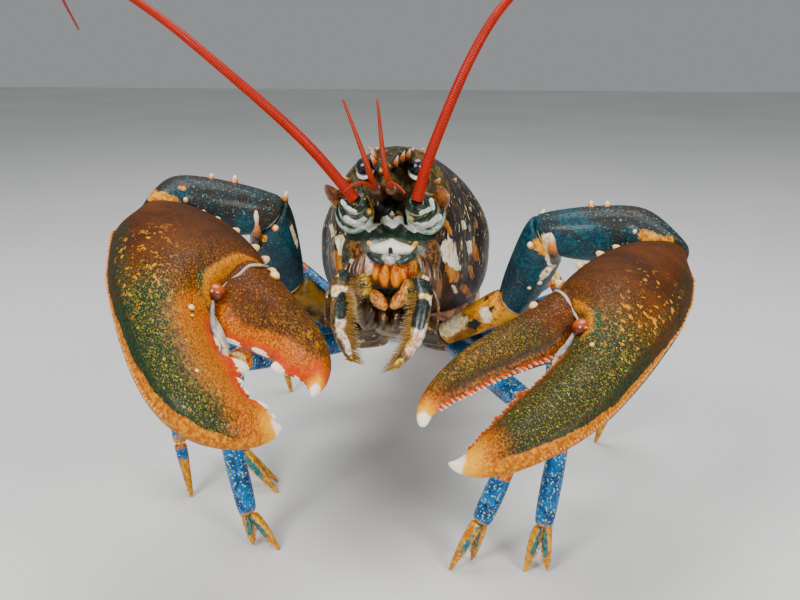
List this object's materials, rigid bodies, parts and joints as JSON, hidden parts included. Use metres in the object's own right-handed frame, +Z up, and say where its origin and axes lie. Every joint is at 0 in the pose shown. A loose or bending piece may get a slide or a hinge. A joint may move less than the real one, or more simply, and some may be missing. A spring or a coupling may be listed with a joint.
{
  "type": "european lobster museum model",
  "caption": "Life-size european lobster, Homarus gammarus, standing with both claws raised and spread, long red antennae swept up and back",
  "frame": {"origin": "centre of the model's footprint box, on the floor it stands on", "axes": "+Z up, +Y towards the tail, +X to the animal's left; the head faces -Y"},
  "size_m": [0.3048, 0.3924, 0.2276],
  "materials": {
    "body_shell": "satin blue-black shell with cream marbling",
    "claw_shell": "satin brown and teal shell with orange edges",
    "leg_shell": "satin cobalt blue shell with pale dots",
    "feeler": "satin red, finely ringed",
    "mouth_parts": "satin cream and dark green",
    "eye": "glossy blue-black"
  },
  "bodies": {
    "root": {"abdomen_1": "body_shell", "abdomen_2": "body_shell", "abdomen_3": "body_shell", "abdomen_4": "body_shell", "abdomen_5": "body_shell", "abdomen_6": "body_shell", "antenna_base_left": "mouth_parts", "antenna_base_right": "mouth_parts", "antenna_left": "feeler", "antenna_right": "feeler", "antennule_left": "feeler", "antennule_right": "feeler", "carapace": "body_shell", "cheliped_carpus_left": "claw_shell", "cheliped_carpus_right": "claw_shell", "cheliped_finger_left": "claw_shell", "cheliped_finger_right": "claw_shell", "cheliped_ischium_left": "claw_shell", "cheliped_ischium_right": "claw_shell", "cheliped_merus_left": "claw_shell", "cheliped_merus_right": "claw_shell", "cheliped_palm_left": "claw_shell", "cheliped_palm_right": "claw_shell", "eye_left": "eye", "eye_right": "eye", "head_front": "mouth_parts", "leg2_finger_left": "leg_shell", "leg2_finger_right": "leg_shell", "leg2_shank_left": "leg_shell", "leg2_shank_right": "leg_shell", "leg2_upper_left": "leg_shell", "leg2_upper_right": "leg_shell", "leg3_finger_left": "leg_shell", "leg3_finger_right": "leg_shell", "leg3_shank_left": "leg_shell", "leg3_shank_right": "leg_shell", "leg3_upper_left": "leg_shell", "leg3_upper_right": "leg_shell", "leg4_finger_left": "leg_shell", "leg4_finger_right": "leg_shell", "leg4_shank_left": "leg_shell", "leg4_shank_right": "leg_shell", "leg4_upper_left": "leg_shell", "leg4_upper_right": "leg_shell", "leg5_finger_left": "leg_shell", "leg5_finger_right": "leg_shell", "leg5_shank_left": "leg_shell", "leg5_shank_right": "leg_shell", "leg5_upper_left": "leg_shell", "leg5_upper_right": "leg_shell", "maxilliped_left": "mouth_parts", "maxilliped_right": "mouth_parts", "telson": "body_shell", "thorax": "body_shell", "uropod_inner_left": "body_shell", "uropod_inner_right": "body_shell", "uropod_outer_left": "body_shell", "uropod_outer_right": "body_shell"}
  },
  "joints": []
}
